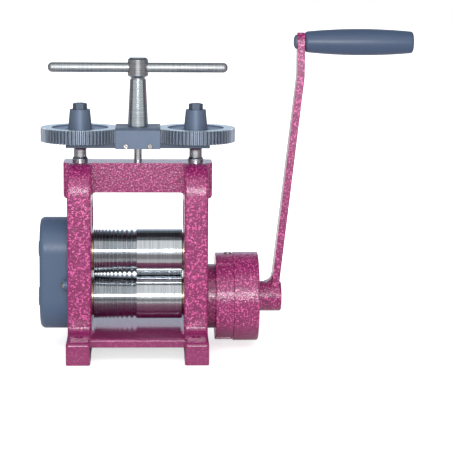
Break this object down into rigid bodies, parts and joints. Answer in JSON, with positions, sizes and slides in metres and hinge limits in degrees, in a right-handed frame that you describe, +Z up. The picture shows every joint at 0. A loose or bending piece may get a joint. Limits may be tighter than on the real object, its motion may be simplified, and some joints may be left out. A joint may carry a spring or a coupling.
{
  "type": "jewellers rolling mill",
  "caption": "Hand-cranked bench rolling mill with half-grooved rollers, a T-handle that sets the roller gap through geared screws, and a geared crank at the right.",
  "frame": {"origin": "on the bench, at the centre of the four foot holes in the plane of the foot pads", "axes": "+X along the rollers towards the crank, +Y away from the operator, +Z up"},
  "size_m": [0.3784, 0.187, 0.3247],
  "materials": {
    "magenta_hammertone": "glossy hammertone enamel with fine pale speckle",
    "polished_steel": "ground and polished",
    "blued_steel": "satin, blue-grey",
    "machined_steel": "machined",
    "bearing_bronze": "turned bronze",
    "spring_steel": "oiled",
    "blue_grey_enamel": "satin enamel",
    "plated_screws": "bright plated",
    "grip_plastic": "satin moulded"
  },
  "bodies": {
    "frame": {"frame_casting": "magenta_hammertone", "lower_bearing_blocks": "machined_steel", "lower_bushes": "bearing_bronze", "lower_thrust_washers": "bearing_bronze", "lift_springs": "spring_steel", "screw_nuts": "polished_steel", "coupling_cover": "blue_grey_enamel", "cover_plug": "blue_grey_enamel", "cover_screws": "plated_screws", "gearbox_body": "magenta_hammertone", "gearbox_mount_bolts": "plated_screws", "gearbox_cover": "magenta_hammertone", "gearbox_cover_screws": "plated_screws", "oil_plug": "plated_screws", "ring_gear": "machined_steel", "input_bush": "bearing_bronze"},
    "carriage": {"tie_plate": "blued_steel", "pinion_housing": "blued_steel", "housing_screws": "plated_screws"},
    "t_handle": {"t_column": "polished_steel", "t_bar": "polished_steel", "centre_spindle": "polished_steel", "pinion": "blued_steel"},
    "left_screw": {"left_pressure_screw": "polished_steel", "left_screw_gear": "blued_steel", "left_cap_nut": "blued_steel"},
    "right_screw": {"right_pressure_screw": "polished_steel", "right_screw_gear": "blued_steel", "right_cap_nut": "blued_steel"},
    "upper_carrier": {"upper_bearing_blocks": "machined_steel", "upper_bushes": "bearing_bronze", "upper_thrust_washers": "bearing_bronze"},
    "top_roller": {"upper_roller": "polished_steel", "upper_coupling_gear": "machined_steel", "upper_gear_key": "machined_steel", "upper_retaining_ring": "machined_steel"},
    "bottom_roller": {"lower_roller": "polished_steel", "lower_coupling_gear": "machined_steel", "lower_gear_key": "machined_steel", "lower_retaining_ring": "machined_steel", "planet_carrier": "machined_steel", "planet_pins": "machined_steel"},
    "planet_1": {"planet_gear_1": "machined_steel"},
    "planet_2": {"planet_gear_2": "machined_steel"},
    "planet_3": {"planet_gear_3": "machined_steel"},
    "crank": {"crank_arm": "magenta_hammertone", "input_shaft": "machined_steel", "hub_screw": "plated_screws", "handle_pin": "blued_steel"},
    "grip": {"handle_grip": "grip_plastic"}
  },
  "joints": [
    {"name": "t_handle_turn", "type": "hinge", "parent": "carriage", "child": "t_handle", "pos_m": [0, 0, 0.2175], "axis": [0, 0, 1], "range_deg": [0, 1744.2]},
    {"name": "carriage_lift", "type": "slide", "parent": "frame", "child": "carriage", "axis": [0, 0, 1], "range_m": [0, 0.005]},
    {"name": "left_screw_turn", "type": "hinge", "parent": "carriage", "child": "left_screw", "pos_m": [-0.0584, 0, 0.2], "axis": [0, 0, 1], "range_deg": [-900.5, 0]},
    {"name": "right_screw_turn", "type": "hinge", "parent": "carriage", "child": "right_screw", "pos_m": [0.0584, 0, 0.2], "axis": [0, 0, 1], "range_deg": [-900.5, 0]},
    {"name": "upper_carrier_lift", "type": "slide", "parent": "frame", "child": "upper_carrier", "axis": [0, 0, 1], "range_m": [0, 0.005], "stiffness_N_per_m": 800, "springref_m": 0.03, "deforming": ["lift_springs"]},
    {"name": "crank_spin", "type": "hinge", "parent": "frame", "child": "crank", "pos_m": [0.1, 0, 0.0505], "axis": [1, 0, 0], "continuous": true},
    {"name": "grip_spin", "type": "hinge", "parent": "crank", "child": "grip", "pos_m": [0.22, 0, 0.3113], "axis": [1, 0, 0], "continuous": true},
    {"name": "bottom_roller_spin", "type": "hinge", "parent": "frame", "child": "bottom_roller", "pos_m": [0, 0, 0.0505], "axis": [1, 0, 0], "continuous": true},
    {"name": "top_roller_spin", "type": "hinge", "parent": "upper_carrier", "child": "top_roller", "pos_m": [0, 0, 0.097], "axis": [1, 0, 0], "continuous": true},
    {"name": "planet_1_spin", "type": "hinge", "parent": "bottom_roller", "child": "planet_1", "pos_m": [0.099, 0, 0.073], "axis": [1, 0, 0], "continuous": true},
    {"name": "planet_2_spin", "type": "hinge", "parent": "bottom_roller", "child": "planet_2", "pos_m": [0.099, -0.01949, 0.03925], "axis": [1, 0, 0], "continuous": true},
    {"name": "planet_3_spin", "type": "hinge", "parent": "bottom_roller", "child": "planet_3", "pos_m": [0.099, 0.01949, 0.03925], "axis": [1, 0, 0], "continuous": true}
  ],
  "couplings": [
    {"joint": "t_handle_turn", "follows": "carriage_lift", "rad_per_m": 6086.8},
    {"joint": "upper_carrier_lift", "follows": "carriage_lift", "ratio": 1},
    {"joint": "left_screw_turn", "follows": "carriage_lift", "rad_per_m": -3141.6},
    {"joint": "right_screw_turn", "follows": "carriage_lift", "rad_per_m": -3141.6},
    {"joint": "bottom_roller_spin", "follows": "crank_spin", "ratio": 0.2},
    {"joint": "top_roller_spin", "follows": "crank_spin", "ratio": -0.2},
    {"joint": "planet_1_spin", "follows": "crank_spin", "ratio": -0.53333},
    {"joint": "planet_2_spin", "follows": "crank_spin", "ratio": -0.53333},
    {"joint": "planet_3_spin", "follows": "crank_spin", "ratio": -0.53333}
  ]
}
